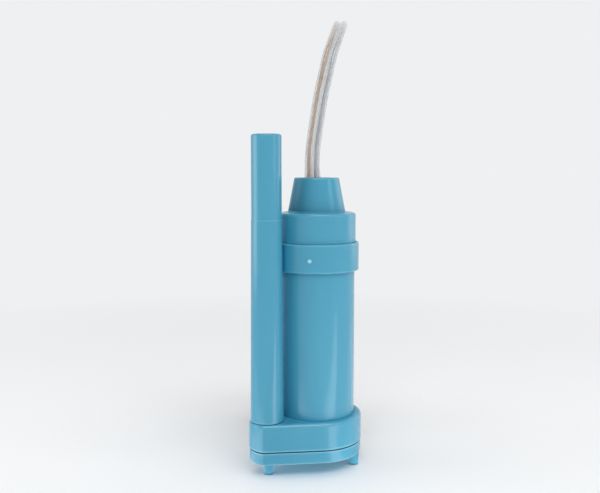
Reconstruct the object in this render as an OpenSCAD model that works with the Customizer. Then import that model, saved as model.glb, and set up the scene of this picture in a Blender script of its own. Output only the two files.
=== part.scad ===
// Submersible caravan water pump: a small motor in a sealed tube turns an impeller in the drop-shaped
// base, and water leaves by the riser beside the tube. Millimetres, standing on its feet, +Z up,
// riser towards -X, origin under the middle of the base.

/* [Motor] */
// Outside diameter of the motor can
motor_d = 24.4; // [23:0.1:27]
// Length of the motor can without its nose
motor_len = 38; // [36:0.5:41]
// Wall of the motor can
can_wall = 0.8; // [0.6:0.1:1]
// Diameter of the can's nose
nose_d = 10; // [9:0.1:11]
// Length of the can's nose
nose_len = 2.2; // [1.8:0.1:2.6]
// Diameter of the shaft
shaft_d = 2.3; // [2:0.1:2.6]
// Outside diameter of both bearing bushes
bush_d = 5.4; // [5:0.1:6]
// Thickness of the end bell's flange
bell_flange_h = 1.2; // [1:0.1:1.6]

/* [Rotor] */
// Diameter of the laminated core
core_d = 16.9; // [16:0.1:17.2]
// Width of a pole's arm
pole_arm_w = 3; // [2.4:0.1:3.4]
// Diameter of the commutator over its segments
commutator_d = 6.6; // [6.2:0.1:7]
// Length of the commutator's segments
commutator_len = 5; // [4.4:0.1:5.2]
// Width of a carbon brush
brush_w = 2.6; // [2:0.1:3]
// Height of a carbon brush
brush_h = 3.2; // [2.6:0.1:3.4]

/* [Housing] */
// Wall of the motor tube
tube_wall = 1.7; // [1.4:0.1:2.2]
// Height of the plain tube between base and collar
tube_h = 53.4; // [51:0.1:60]
// Height of the collar
collar_h = 10.3; // [9:0.1:12]
// Wall of the collar outside the cap
collar_wall = 1.05; // [0.9:0.05:1.4]
// Floor of the collar's socket above the collar's lower edge
collar_floor = 1.6; // [1.2:0.1:2]
// Edge radius of the collar
collar_edge = 0.5; // [0.3:0.1:0.8]

/* [Cap] */
// Diameter of the cap
cap_d = 28.8; // [28.4:0.1:30]
// Height of the cap above the collar
cap_h = 10.8; // [9:0.1:13]
// Wall of the cap
cap_wall = 1.6; // [1.2:0.1:1.8]
// Edge radius of the cap's ledge
cap_edge = 1; // [0.6:0.1:1.4]
// Diameter of the cable cone at the ledge
cone_base_d = 21.2; // [20:0.1:22]
// Diameter of the cable cone at its top
cone_top_d = 16.4; // [15.8:0.1:17]
// Height of the cable cone
cone_h = 12.7; // [12:0.1:15]
// Edge radius at the cone's top
cone_edge = 0.7; // [0.4:0.1:1]
// Diameter of the hole in the cone's top
gland_d = 10.4; // [10:0.1:11]
// Thickness of the seal ring under the cap
seal_ring_d = 1.1; // [0.9:0.1:1.3]

/* [Pump base] */
// Diameter of the impeller
impeller_d = 21.8; // [20:0.1:24]
// Gap from the impeller to the start of the spiral
tip_gap = 1.2; // [0.8:0.1:1.6]
// How much wider the spiral is at its end
volute_growth = 3.1; // [2.4:0.1:4]
// Wall outside the spiral
volute_wall = 1.6; // [1.2:0.1:2]
// Height of the volute
volute_h = 9.8; // [9.6:0.1:12]
// Thickness of the roof over the pump chamber
roof_h = 2; // [1.6:0.1:2.4]
// Edge radius round the top of the base
base_edge = 1.2; // [0.8:0.1:1.4]
// Thickness of the impeller's disc
disc_h = 1.2; // [1:0.1:1.4]
// Number of impeller vanes
vanes = 6; // [4:1:8]
// Thickness of a vane
vane_w = 0.9; // [0.7:0.1:1.1]

/* [Riser] */
// Outside diameter of the hose spigot
spigot_d = 10.8; // [10:0.1:11.4]
// Length of the hose spigot
spigot_len = 30; // [24:0.5:34]
// Outside diameter of the riser at its foot
riser_foot_d = 12; // [11.6:0.1:12.6]
// Height of the riser above the base
riser_h = 102.4; // [94:0.1:112]
// Bore of the riser
riser_bore_d = 7.8; // [7:0.1:8.2]
// Diameter of the riser's plug in the base
plug_d = 10; // [9.6:0.1:10.4]
// Depth of the riser's plug in the base
plug_depth = 4; // [3:0.1:5]
// Edge radius at the riser's top
riser_edge = 0.8; // [0.4:0.1:1]
// Gap between the collar and the riser's foot, seen from above
riser_gap = 0.3; // [0.2:0.1:1]
// Step down from the stalk to the hose spigot, on the radius
spigot_step = 0.1; // [0.05:0.05:0.2]
// Width of the base beside the riser's foot
riser_lip = 0.4; // [0.4:0.1:1]
// Width of the base beyond the riser's foot
end_lip = 0.2; // [0.2:0.1:0.8]
// Radius of the base's flat end
end_r = 8.8; // [8.6:0.1:12]
// Radius of the corners beside the flat end
corner_r = 1.2; // [0.8:0.1:1.6]

/* [Bottom plate] */
// Height of the plate's rim
plate_h = 5; // [4.4:0.1:5.6]
// Thickness of the plate's floor
plate_floor = 2.2; // [1.8:0.1:2.6]
// Wall of the plate's rim
plate_rim = 1.8; // [1.4:0.1:2.2]
// How far the plate stands back from the volute
plate_inset = 0.2; // [0.1:0.05:0.4]
// Width and depth of the groove at the joint
groove = 0.55; // [0.4:0.05:0.7]
// Height of the plate's boss in the pump chamber
boss_h = 1; // [0.8:0.1:1.2]
// Diameter of the intake eye
intake_d = 11; // [10:0.1:12]
// Height of the feet
foot_h = 5; // [4:0.1:7]
// Diameter of a foot at the plate
foot_d = 4.3; // [4:0.1:4.6]
// Diameter of a foot at its tip
foot_tip_d = 3.5; // [3:0.1:3.9]
// From the small end's edge to its foot
toe_inset = 6.8; // [6.4:0.1:7.8]
// From the round end's edge to its feet
heel_inset = 2.6; // [2.4:0.1:3]
// Angle of the two feet at the round end
heel_angle = 45; // [35:1:55]

/* [Cable] */
// Width of the flat twin lead
lead_w = 5.4; // [5.2:0.1:5.6]
// Thickness of the flat twin lead
lead_t = 2.7; // [2.5:0.1:2.8]
// Radius of the put-away coil
coil_r = 19.5; // [18:0.5:21]
// Gap between one turn of the coil and the next
turn_gap = 0.45; // [0.45:0.05:0.7]
// Width of the tie round the coil
tie_w = 2.6; // [2:0.1:3]
// Thickness of the tie
tie_t = 0.8; // [0.6:0.1:0.8]
// Length of the stripped cores
core_len_bare = 8; // [6:0.5:10]

/* [Fits] */
// Motor can in its bay, on the radius
motor_clear = 0.15; // [0.1:0.05:0.3]
// Cap in the collar, on the radius
cap_clear = 0.15; // [0.1:0.05:0.3]
// Shaft in its bushes and seal, on the radius
running_clear = 0.04; // [0.02:0.01:0.08]
// Pieces pressed on or into each other, on the radius
press_clear = 0.02; // [0.01:0.01:0.03]
// Seats, plugs and bungs, all round
seat_clear = 0.1; // [0.05:0.05:0.15]
// Air gap between the rotor and what stands still
air_gap = 0.5; // [0.4:0.05:0.6]
// Gap between the brushes and the commutator
brush_gap = 0.12; // [0.1:0.01:0.2]

/* [Hidden] */
$fn = 96;
eps = 0.01;

// Radii that follow from the motor, the cap and the impeller
bay_r = motor_d / 2 + motor_clear;
tube_r = bay_r + tube_wall;
cap_r = cap_d / 2;
socket_r = cap_r + cap_clear;
collar_r = socket_r + collar_wall;
impeller_r = impeller_d / 2;
spiral_r = impeller_r + tip_gap;
chamber_r = spiral_r + volute_growth;
volute_r = chamber_r + volute_wall;
foot_r = riser_foot_d / 2;
plug_r = plug_d / 2;
small_r = foot_r + riser_lip;
end_reach = foot_r + end_lip;
least_corner_r = 0.2;
shaft_r = shaft_d / 2;
can_r = motor_d / 2;
can_bore_r = can_r - can_wall;
bush_r = bush_d / 2;

// Places of the two upright axes
riser_offset = collar_r + riser_gap + foot_r;
motor_x = (riser_offset + end_reach - volute_r) / 2;

// Levels from the floor up
seam_z = foot_h + plate_h;
boss_z = seam_z + boss_h;
base_z = seam_z + volute_h;
roof_z = base_z - roof_h;
collar_z = base_z + tube_h;
socket_z = collar_z + collar_floor;
cap_joint_z = collar_z + collar_h;
ledge_z = cap_joint_z + cap_h;
cone_z = ledge_z + cone_h;
riser_top_z = base_z + riser_h;
spigot_z = riser_top_z - spigot_len;
cap_rim_z = socket_z + seal_ring_d + 2 * seat_clear;

// The shaft's seal and the motor sit above the pump chamber's roof
seal_floor = 1.2;
seal_r = 4;
seal_h = 2.8;
retainer_h = 0.5;
seal_z = roof_z + seal_floor;
nose_z = seal_z + seal_h + retainer_h + 3 * seat_clear;
motor_z = nose_z + nose_len;
can_floor = 1;
motor_top_z = motor_z + motor_len;
bell_plug_h = 1.8;
bell_top_z = motor_top_z + bell_flange_h;
bell_under_z = motor_top_z - bell_plug_h;
bush_h = 3.3;
bush_recess = 0.3;
upper_bush_z = bell_under_z + bush_recess;
bush_top_z = upper_bush_z + bush_h;
boss_wall = 1.5;
boss_roof = 1;
bell_boss_r = bush_r + boss_wall;
bell_boss_z = bush_top_z + boss_roof;
shaft_short = 0.4;
shaft_top_z = bush_top_z - shaft_short;

// Impeller between the plate's boss and the roof
impeller_gap = 0.8;
impeller_z = boss_z + impeller_gap;
roof_gap = 1.3;
disc_z = roof_z - roof_gap - disc_h;
hub_wall = 2;
hub_r = shaft_r + hub_wall;

// Electrical end of the motor, counted down from the end bell
end_float = 0.2;
washer_h = 0.5;
washer_wall = 1.2;
washer_z = bell_under_z - end_float - washer_h;
commutator_r = commutator_d / 2;
segment_t = 0.75;
commutator_hub_r = commutator_r - segment_t;
commutator_z = washer_z - seat_clear - commutator_len;
commutator_foot = 1;
core_r = core_d / 2;
core_up = 7.6;
core_z = motor_z + core_up;
core_room = 18;
core_len = motor_len - core_room;
shoe_t = 1.5;
magnet_r = core_r + air_gap;
winding_over = 1.8;
winding_w = 6.4;
magnet_over = 3;
brush_z = commutator_z + (commutator_len - brush_h) / 2;
brush_len = 3.9;
leaf_t = 0.5;
leaf_w = 2.8;
leaf_x = commutator_r + brush_gap + brush_len;
tag_h = 6.6;
tag_top_z = bell_top_z + tag_h;
capacitor_r = 3;
capacitor_t = 2.2;
capacitor_z = bell_boss_z + capacitor_r + seat_clear;

// The lead leaves the cone a little to one side, its flat face turned to the front left
lead_turn = -35;
lead_shift = -1.7;
lobe = lead_t / 2;
lobe_x = lead_w / 2 - lobe;
web_t = 1;
entry_up = 2.4;
entry_z = ledge_z + entry_up;
bung_wall = 1.6;
split_core_r = 1.15;

// The put-away coil stands on the floor, wound on edge
coil_pitch = lead_w + turn_gap;
coil_turns = 5.75;
coil_floor = 0.16;
coil_top_z = coil_turns * coil_pitch + lead_w / 2 + coil_floor;
coil_steps = 24;
coil_rings = coil_turns * coil_steps;
twist_turn = 180;
tie_angle = 150;
core_d_bare = 1.3;

// Route of the free stretch in the lead's turned frame: across, behind, then height above the cone
lead_rise = [
    [lead_shift, 0, 0], [lead_shift, 0, 4], [-1.5, 0, 9], [-0.8, 0, 15], [0.1, 0, 21], [1, 0, 27],
    [2.2, 0, 33], [3.5, 0.3, 39], [4.8, 1.6, 44.5], [6.9, 5.2, 50.7], [8.5, 11, 55.5], [9.3, 18, 58.2]
];
// and, on the way down to the coil, the share of the drop that is left
lead_fall = [
    [9.2, 26, 1], [8.2, 33, 0.979], [6.6, 39, 0.941], [5, 42.7, 0.89], [3.2, 44, 0.831],
    [2, 44.2, 0.781], [0.8, 44, 0.727], [-0.5, 43.5, 0.664], [-0.8, 42.5, 0.602], [0, 41, 0.54],
    [1.8, 38.5, 0.47], [4.5, 35, 0.4], [7.7, 30.5, 0.33], [10.4, 26, 0.268], [11.9, 22, 0.206],
    [12.2, 20.2, 0.144], [12.4, 22.2, 0.0777], [12.8, 27, 0.0287], [13.3, 33, 0.0054], [13.6, 39, 0]
];
arch_z = cone_z + lead_rise[len(lead_rise) - 1].z;
lead_route = concat(
    [for (p = lead_rise) [p.x, p.y, cone_z + p.z]],
    [for (p = lead_fall) [p.x, p.y, coil_top_z + p.z * (arch_z - coil_top_z)]]
);
coil_start = lead_route[len(lead_route) - 1];
coil_middle = [coil_start.x - coil_r, coil_start.y + lead_w];

function unit(v) = v / norm(v);

// Points of an arc, for profiles that are revolved
function arc(centre, r, from, to, steps = 8) =
    [for (i = [0 : steps]) let (a = from + (to - from) * i / steps) centre + r * [cos(a), sin(a)]];

// Drop outline of the base about the motor's axis, drawn in by an inset: a round end, straight flanks
// and a flat end past the riser that meets the flanks in rounded corners
function drop_points(inset) =
    let (
        lean = (volute_r - small_r) / riser_offset,
        rise = sqrt(1 - lean * lean),
        out = [-lean, rise],
        corner = max(corner_r, inset + least_corner_r),
        end_at = [end_r - end_reach - riser_offset, 0],
        in_line = volute_r - corner - out * end_at,
        along = sqrt(pow(end_r - corner, 2) - in_line * in_line),
        corner_at = end_at + in_line * out + along * [-rise, -lean],
        flank_a = 90 + asin(lean),
        corner_a = atan2(corner_at.y, corner_at.x - end_at.x),
        step_a = (180 - corner_a) / 6
    )
    concat(
        arc([0, 0], volute_r - inset, -flank_a, flank_a, 64),
        arc(corner_at, corner - inset, flank_a, corner_a, 5),
        arc(end_at, end_r - inset, corner_a + step_a, 360 - corner_a - step_a, 10),
        arc([corner_at.x, -corner_at.y], corner - inset, 360 - corner_a, 360 - flank_a, 5)
    );

// Sections of the twin lead: twelve points with a waist, and six where it is wound
lead_section = [
    for (side = [1, -1])
        each concat(
            [for (a = [-120 : 60 : 120]) side * [lobe_x + lobe * cos(a), lobe * sin(a)]],
            [side * [0, web_t / 2]]
        )
];
lead_loops = [[11, 0, 1, 2, 3, 4, 5], [5, 6, 7, 8, 9, 10, 11]];
coil_section = [
    for (a = [0 : 60 : 300]) [lobe_x * sign(round(2 * cos(a))) + lobe * cos(a), lobe * sin(a) / sin(60)]
];

// One ring of a swept tube, with the section's width along the wide direction
function ring(at, along, wide, section) =
    let (w = unit(wide - (wide * along) * along), n = cross(along, w))
    [for (p = section) at + p.x * w + p.y * n];

function direction(path, i, first, last) =
    i == 0 ? first : i == len(path) - 1 ? last : unit(path[i + 1] - path[i - 1]);

// Coil: a short straight run, the turns with the lead rolling from flat to on edge, a straight end
function coil_angle(i) = 360 * i / coil_steps;
function coil_roll(a) = let (u = min(1, a / twist_turn)) 90 * u * u * (3 - 2 * u);
function coil_point(a) = [
    coil_middle.x + coil_r * cos(a), coil_middle.y + coil_r * sin(a), coil_start.z - coil_pitch * a / 360
];
function coil_along(a) = unit([-sin(a), cos(a), -coil_pitch / (2 * PI * coil_r)]);
function coil_wide(a) = cos(coil_roll(a)) * [cos(a), sin(a), 0] + [0, 0, sin(coil_roll(a))];
coil_last = coil_angle(coil_rings);
coil_tail = coil_point(coil_last) + lead_w * [-sin(coil_last), cos(coil_last), 0];
coil_ring_list = concat(
    [ring(coil_start, [0, 1, 0], [1, 0, 0], coil_section)],
    [
        for (i = [0 : coil_rings])
            let (a = coil_angle(i))
            ring(coil_point(a), coil_along(a), coil_wide(a), coil_section)
    ],
    [ring(coil_tail, [-sin(coil_last), cos(coil_last), 0], [0, 0, 1], coil_section)]
);

// Least gap between one turn and the next, measured from each corner to the next turn's near edges
function to_edge(p, a, b) = let (d = b - a, u = max(0, min(1, (p - a) * d / (d * d)))) norm(p - a - u * d);
function ring_gap(r, s) = min([for (p = r) for (k = [0 : len(s) - 1]) to_edge(p, s[k], s[(k + 1) % len(s)])]);
coil_gap = min([
    for (i = [1 : coil_rings - coil_steps])
        for (j = [i + coil_steps - 1 : i + coil_steps + 1])
            ring_gap(coil_ring_list[i], coil_ring_list[j])
]);
echo(least_gap_between_coil_turns = coil_gap);

// Moves to the motor's axis, to the riser's axis and into the lead's turned frame
module at_motor() {
    translate([motor_x, 0, 0])
        children();
}

module at_riser() {
    translate([motor_x - riser_offset, 0, 0])
        children();
}

module at_lead() {
    at_motor()
        rotate(lead_turn)
            children();
}

// Tube with a true bore, standing on z
module pipe(r, bore, h, z = 0) {
    translate([0, 0, z])
        difference() {
            cylinder(r = r, h = h);
            translate([0, 0, -eps])
                cylinder(r = bore, h = h + 2 * eps);
        }
}

// Round bar between two points
module rod(a, b, r) {
    v = b - a;
    translate(a)
        rotate([0, acos(v.z / norm(v)), atan2(v.y, v.x)])
            cylinder(r = r, h = norm(v));
}

// Disc with its top edge rounded
module puck(r, h, edge) {
    rotate_extrude()
        union() {
            square([r - edge, h]);
            square([r, h - edge]);
            translate([r - edge, h - edge])
                circle(edge, $fn = 24);
        }
}

// Drop-shaped block with its top edge rounded all round
module drop_block(h, inset, edge) {
    levels = concat([[0, 0]], [for (a = [0 : 22.5 : 90]) edge * [1 - cos(a), sin(a) - 1] + [0, h]]);
    rings = [for (v = levels) [for (p = drop_points(inset + v.x)) [p.x, p.y, v.y]]];
    swept(rings, [[for (k = [0 : len(rings[0]) - 1]) k]]);
}

// Pump chamber: a spiral of three quarter arcs that widens into the channel under the riser
module chamber_outline(inset) {
    step = volute_growth / 3;
    centres = [[0, -step], [0, 0], [-step, 0]];
    channel_r = riser_bore_d / 2 + riser_lip - inset;
    tuck = 0.05;
    flank_r = channel_r - tuck;
    lean = (chamber_r - channel_r) / riser_offset;
    circle(spiral_r - inset);
    for (k = [0 : 2])
        translate(centres[k])
            rotate(180 + 90 * k)
                intersection() {
                    circle(spiral_r + step * (k + 1) - inset);
                    square(chamber_r);
                }
    translate([-riser_offset, 0])
        circle(channel_r);
    polygon([
        [-step, chamber_r - inset], [-riser_offset - flank_r * lean, flank_r * sqrt(1 - lean * lean)],
        [-riser_offset, -flank_r], [-spiral_r / 2, -flank_r], [-step, 0]
    ]);
}

// Section of the twin lead as true arcs, grown by a clearance
module lead_outline(clear) {
    for (side = [1, -1])
        translate([side * lobe_x, 0])
            circle(lobe + clear, $fn = 32);
    square([2 * lobe_x, web_t + 2 * clear], center = true);
}

// Tube through a list of rings; each end is closed by fans over the loops of its section
module swept(rings, loops) {
    n = len(rings[0]);
    last = (len(rings) - 1) * n;
    fans = [for (loop = loops) for (k = [1 : len(loop) - 2]) [loop[0], loop[k], loop[k + 1]]];
    polyhedron(
        points = [for (r = rings) each r],
        faces = concat(
            fans,
            [
                for (i = [0 : len(rings) - 2])
                    for (k = [0 : n - 1])
                        let (a = i * n + k, b = i * n + (k + 1) % n)
                        each [[a, a + n, b], [b, a + n, b + n]]
            ],
            [for (f = fans) [last + f[0], last + f[2], last + f[1]]]
        )
    );
}

// Motor tube, collar with its moulding nub, and volute in one moulding
module pump_housing() {
    nub_turn = -135;
    nub_r = 0.7;
    nub_out = 0.55;
    nub_z = 4.65;
    color("#55a0bd")
        at_motor()
            difference() {
                union() {
                    translate([0, 0, seam_z])
                        drop_block(volute_h, 0, base_edge);
                    translate([0, 0, roof_z])
                        cylinder(r = tube_r, h = collar_z + collar_floor - roof_z);
                    translate([0, 0, collar_z])
                        rotate_extrude()
                            polygon(concat(
                                [[0, 0]], arc([collar_r - collar_edge, collar_edge], collar_edge, -90, 0),
                                arc([collar_r - collar_edge, collar_h - collar_edge], collar_edge, 0, 90),
                                [[0, collar_h]]
                            ));
                    translate([0, 0, collar_z + nub_z])
                        rotate(nub_turn)
                            rod([socket_r + collar_wall / 2, 0, 0], [collar_r + nub_out, 0, 0], nub_r);
                }
                translate([0, 0, socket_z])
                    cylinder(r = socket_r, h = collar_h);
                translate([0, 0, motor_z - seat_clear])
                    cylinder(r = bay_r, h = socket_z - motor_z + 1);
                translate([0, 0, nose_z - seat_clear])
                    cylinder(r = nose_d / 2 + seat_clear, h = nose_len + eps);
                translate([0, 0, seal_z])
                    cylinder(r = seal_r, h = nose_z - seal_z);
                cylinder(r = shaft_r + air_gap, h = seal_z + eps);
                translate([0, 0, seam_z - eps])
                    linear_extrude(volute_h - roof_h + eps)
                        chamber_outline(0);
                translate([-riser_offset, 0, base_z - plug_depth])
                    cylinder(r = plug_r + press_clear, h = plug_depth + 1);
            }
}

// Delivery tube: plug, tapered stalk and straight hose spigot
module outlet_riser() {
    bore = riser_bore_d / 2;
    tip = spigot_d / 2;
    chamfer = 0.3;
    color("#569dbb")
        at_riser()
            rotate_extrude()
                polygon(concat(
                    [[bore, base_z - plug_depth], [plug_r, base_z - plug_depth], [plug_r, base_z]],
                    [[foot_r - chamfer, base_z], [foot_r, base_z + chamfer]],
                    [[tip + spigot_step, spigot_z], [tip, spigot_z]],
                    arc([tip - riser_edge, riser_top_z - riser_edge], riser_edge, 0, 90),
                    [[bore, riser_top_z]]
                ));
}

// Peg foot with a boss that carries it under the plate's floor
module foot_peg() {
    cylinder(r1 = foot_tip_d / 2, r2 = foot_d / 2, h = foot_h);
    translate([0, 0, foot_h])
        cylinder(r = foot_d / 2, h = plate_h - plate_floor + eps);
}

// Plate under the pump chamber, hollow below, with intake eye, ribs and feet
module bottom_plate() {
    plate_edge = 0.8;
    rib_w = 1.2;
    eye_r = intake_d / 2;
    hollow = plate_h - plate_floor;
    heel_r = volute_r - heel_inset;
    toe_x = -riser_offset - end_reach + toe_inset;
    feet = concat([[toe_x, 0]], [for (s = [1, -1]) heel_r * [cos(heel_angle), s * sin(heel_angle)]]);
    color("#539cba")
        at_motor()
            difference() {
                union() {
                    difference() {
                        translate([0, 0, seam_z - groove])
                            mirror([0, 0, 1])
                                drop_block(plate_h - groove, plate_inset, plate_edge);
                        translate([0, 0, foot_h - eps])
                            linear_extrude(hollow + eps)
                                polygon(drop_points(plate_rim + plate_inset));
                    }
                    translate([0, 0, seam_z - groove - eps])
                        linear_extrude(groove + eps)
                            polygon(drop_points(plate_inset + groove));
                    translate([0, 0, seam_z - eps])
                        linear_extrude(boss_h + eps)
                            chamber_outline(seat_clear);
                    pipe(eye_r + plate_rim, eye_r, hollow + eps, foot_h);
                    for (f = feet) {
                        translate(f)
                            foot_peg();
                        translate([0, 0, foot_h])
                            rotate(atan2(f.y, f.x))
                                translate([eye_r + plate_rim / 2, -rib_w / 2, plate_edge])
                                    cube([norm(f) - eye_r - plate_rim / 2, rib_w, hollow - plate_edge + plate_floor / 2]);
                    }
                }
                cylinder(r = eye_r, h = boss_z + 1);
            }
}

// Cap that plugs into the collar, with the cone that carries the lead
module top_cap() {
    base = cone_base_d / 2;
    tip = cone_top_d / 2;
    slope = (base - tip) / cone_h;
    gland = gland_d / 2;
    color("#569eb7")
        at_motor()
            rotate_extrude()
                polygon(concat(
                    [[cap_r - cap_wall, cap_rim_z], [cap_r, cap_rim_z]],
                    arc([cap_r - cap_edge, ledge_z - cap_edge], cap_edge, 0, 90),
                    [[base, ledge_z]],
                    arc([tip + slope * cone_edge - cone_edge, cone_z - cone_edge], cone_edge, 0, 90),
                    [[gland, cone_z], [gland, cone_z - cap_wall], [tip - cap_wall, cone_z - cap_wall]],
                    [[base - cap_wall, ledge_z - cap_wall], [cap_r - cap_wall, ledge_z - cap_wall]]
                ));
}

// O-ring on the collar's shoulder, under the cap's rim
module cap_seal_ring() {
    color("#222222")
        at_motor()
            translate([0, 0, socket_z + seat_clear + seal_ring_d / 2])
                rotate_extrude()
                    translate([cap_r - cap_wall / 2, 0])
                        circle(seal_ring_d / 2, $fn = 32);
}

// Rubber bung that fills the cone round the lead
module cable_seal() {
    slope = (cone_base_d - cone_top_d) / 2 / cone_h;
    under = cone_z - cap_wall - seat_clear;
    foot = entry_z + bung_wall;
    top_r = cone_top_d / 2 - cap_wall - 2 * seat_clear;
    color("#2b2b2b")
        at_motor()
            difference() {
                rotate_extrude()
                    polygon([
                        [0, foot], [top_r + slope * (under - foot), foot],
                        [top_r, under], [gland_d / 2 - seat_clear, under],
                        [gland_d / 2 - seat_clear, cone_z - cone_edge], [0, cone_z - cone_edge]
                    ]);
                rotate(lead_turn)
                    translate([lead_shift, 0, entry_z])
                        linear_extrude(cone_h)
                            lead_outline(seat_clear);
            }
}

// The twin lead inside the bung, up to the top of the cone
module cable_entry() {
    color("#d9dcdc")
        at_lead()
            translate([lead_shift, 0, entry_z])
                linear_extrude(cone_z - entry_z)
                    lead_outline(0);
}

// One split core of the lead, from the bung down to the solder tag, on a smooth S
module core_lead(side) {
    sides = 10;
    steps = 10;
    turn = [[cos(lead_turn), -sin(lead_turn)], [sin(lead_turn), cos(lead_turn)]];
    top = turn * [lead_shift + side * lobe_x, 0];
    tag = [side * (leaf_x + leaf_t / 2), 0];
    path = [
        for (i = [0 : steps])
            let (u = i / steps, ease = u * u * (3 - 2 * u), at = tag + (top - tag) * ease)
            [at.x, at.y, tag_top_z + (entry_z - tag_top_z) * u]
    ];
    section = [for (k = [0 : sides - 1]) split_core_r * [cos(360 * k / sides), sin(360 * k / sides)]];
    swept(
        [for (i = [0 : steps]) ring(path[i], direction(path, i, [0, 0, 1], [0, 0, 1]), [0, 1, 0], section)],
        [[for (k = [0 : sides - 1]) k]]
    );
}

module lead_positive() {
    color("#c9a27a")
        at_motor()
            core_lead(1);
}

module lead_negative() {
    color("#c8ccd0")
        at_motor()
            core_lead(-1);
}

// Disc capacitor across the solder tags
module suppressor_capacitor() {
    wire_r = 0.3;
    edge = 0.4;
    color("#c98a3c")
        at_motor()
            translate([0, 0, capacitor_z]) {
                rotate([90, 0, 0])
                    translate([0, 0, -capacitor_t / 2])
                        puck(capacitor_r, capacitor_t, edge);
                for (side = [1, -1])
                    rod([side * (capacitor_r - edge), 0, 0], [side * leaf_x, 0, 0], wire_r);
            }
}

// Brass leaf: presses the brush below and ends in the solder tag above
module brush_leaf(side) {
    translate([side * (leaf_x + leaf_t / 2), 0, (brush_z + tag_top_z) / 2])
        cube([leaf_t, leaf_w, tag_top_z - brush_z], center = true);
}

module terminal_positive() {
    color("#c8a951")
        at_motor()
            brush_leaf(1);
}

module terminal_negative() {
    color("#c8a951")
        at_motor()
            brush_leaf(-1);
}

// Carbon block, hollowed to the commutator
module carbon_brush(side) {
    reach = commutator_r / 2;
    difference() {
        translate([side > 0 ? reach : -leaf_x, -brush_w / 2, brush_z])
            cube([leaf_x - reach, brush_w, brush_h]);
        translate([0, 0, brush_z - eps])
            cylinder(r = commutator_r + brush_gap, h = brush_h + 2 * eps);
    }
}

module brush_positive() {
    color("#303030")
        at_motor()
            carbon_brush(1);
}

module brush_negative() {
    color("#303030")
        at_motor()
            carbon_brush(-1);
}

// Plastic end of the motor with the upper bush and slots for the leaves
module motor_end_bell() {
    slot_w = leaf_w + 2 * seat_clear;
    slot_t = leaf_t + 2 * seat_clear;
    color("#3a3a3c")
        at_motor()
            difference() {
                union() {
                    translate([0, 0, bell_under_z])
                        cylinder(r = can_bore_r - seat_clear, h = bell_plug_h + eps);
                    translate([0, 0, motor_top_z])
                        cylinder(r = can_r, h = bell_flange_h);
                    translate([0, 0, bell_top_z - eps])
                        cylinder(r = bell_boss_r, h = bell_boss_z - bell_top_z + eps);
                }
                translate([0, 0, bell_under_z - eps])
                    cylinder(r = bush_r + press_clear, h = bush_top_z - bell_under_z + seat_clear);
                for (side = [1, -1])
                    translate([side * (leaf_x + leaf_t / 2), 0, motor_top_z])
                        cube([slot_t, slot_w, 4 * bell_plug_h], center = true);
            }
}

// Sintered bush
module bush(z) {
    at_motor()
        pipe(bush_r, shaft_r + running_clear, bush_h, z);
}

module bearing_upper() {
    color("#b08a4a")
        bush(upper_bush_z);
}

module bearing_lower() {
    color("#b08a4a")
        bush(nose_z);
}

// Drawn can with a nose for the lower bush and two vents in its floor
module motor_can() {
    vent_r = 1.4;
    vent_at = 8;
    color("#b9bdc2")
        at_motor()
            difference() {
                union() {
                    translate([0, 0, motor_z])
                        cylinder(r = can_r, h = motor_len);
                    translate([0, 0, nose_z])
                        cylinder(r = nose_d / 2, h = nose_len + eps);
                }
                translate([0, 0, motor_z + can_floor])
                    cylinder(r = can_bore_r, h = motor_len);
                translate([0, 0, nose_z - eps])
                    cylinder(r = bush_r + press_clear, h = nose_len + can_floor + 2 * eps);
                for (side = [1, -1])
                    translate([0, side * vent_at, motor_z - eps])
                        cylinder(r = vent_r, h = can_floor + 2 * eps);
            }
}

// Ring sector between two radii, centred on +X
module sector(r, bore, h, half_angle) {
    reach = 2 * r;
    intersection() {
        pipe(r, bore, h);
        linear_extrude(h)
            polygon([
                [0, 0], reach * [cos(half_angle), -sin(half_angle)], [reach, -reach * sin(half_angle)],
                [reach, reach * sin(half_angle)], reach * [cos(half_angle), sin(half_angle)]
            ]);
    }
}

// Ferrite arc
module field_magnet(turn) {
    half = 62;
    at_motor()
        translate([0, 0, core_z - magnet_over])
            rotate(turn)
                sector(can_bore_r - seat_clear, magnet_r, core_len + 2 * magnet_over, half);
}

module magnet_left() {
    color("#4b4a4d")
        field_magnet(180);
}

module magnet_right() {
    color("#4b4a4d")
        field_magnet(0);
}

// Two sprung clips that hold the magnets apart against the can
module magnet_springs() {
    half = 25;
    clip_t = 0.6;
    color("#8f9499")
        at_motor()
            for (turn = [90, 270])
                translate([0, 0, core_z])
                    rotate(turn)
                        sector(can_bore_r - seat_clear, can_bore_r - seat_clear - clip_t, core_len, half);
}

module motor_shaft() {
    color("#c9ccd0")
        at_motor()
            translate([0, 0, impeller_z])
                cylinder(r = shaft_r, h = shaft_top_z - impeller_z);
}

// Three poles with shoes, on a round hub
module rotor_core() {
    shoe_half = 50;
    color("#7d8187")
        at_motor()
            translate([0, 0, core_z])
                difference() {
                    union() {
                        cylinder(r = hub_r, h = core_len);
                        for (k = [0 : 2])
                            rotate(120 * k) {
                                translate([0, -pole_arm_w / 2, 0])
                                    cube([core_r - shoe_t / 2, pole_arm_w, core_len]);
                                sector(core_r, core_r - shoe_t, core_len, shoe_half);
                            }
                    }
                    translate([0, 0, -eps])
                        cylinder(r = shaft_r + press_clear, h = core_len + 2 * eps);
                }
}

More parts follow.
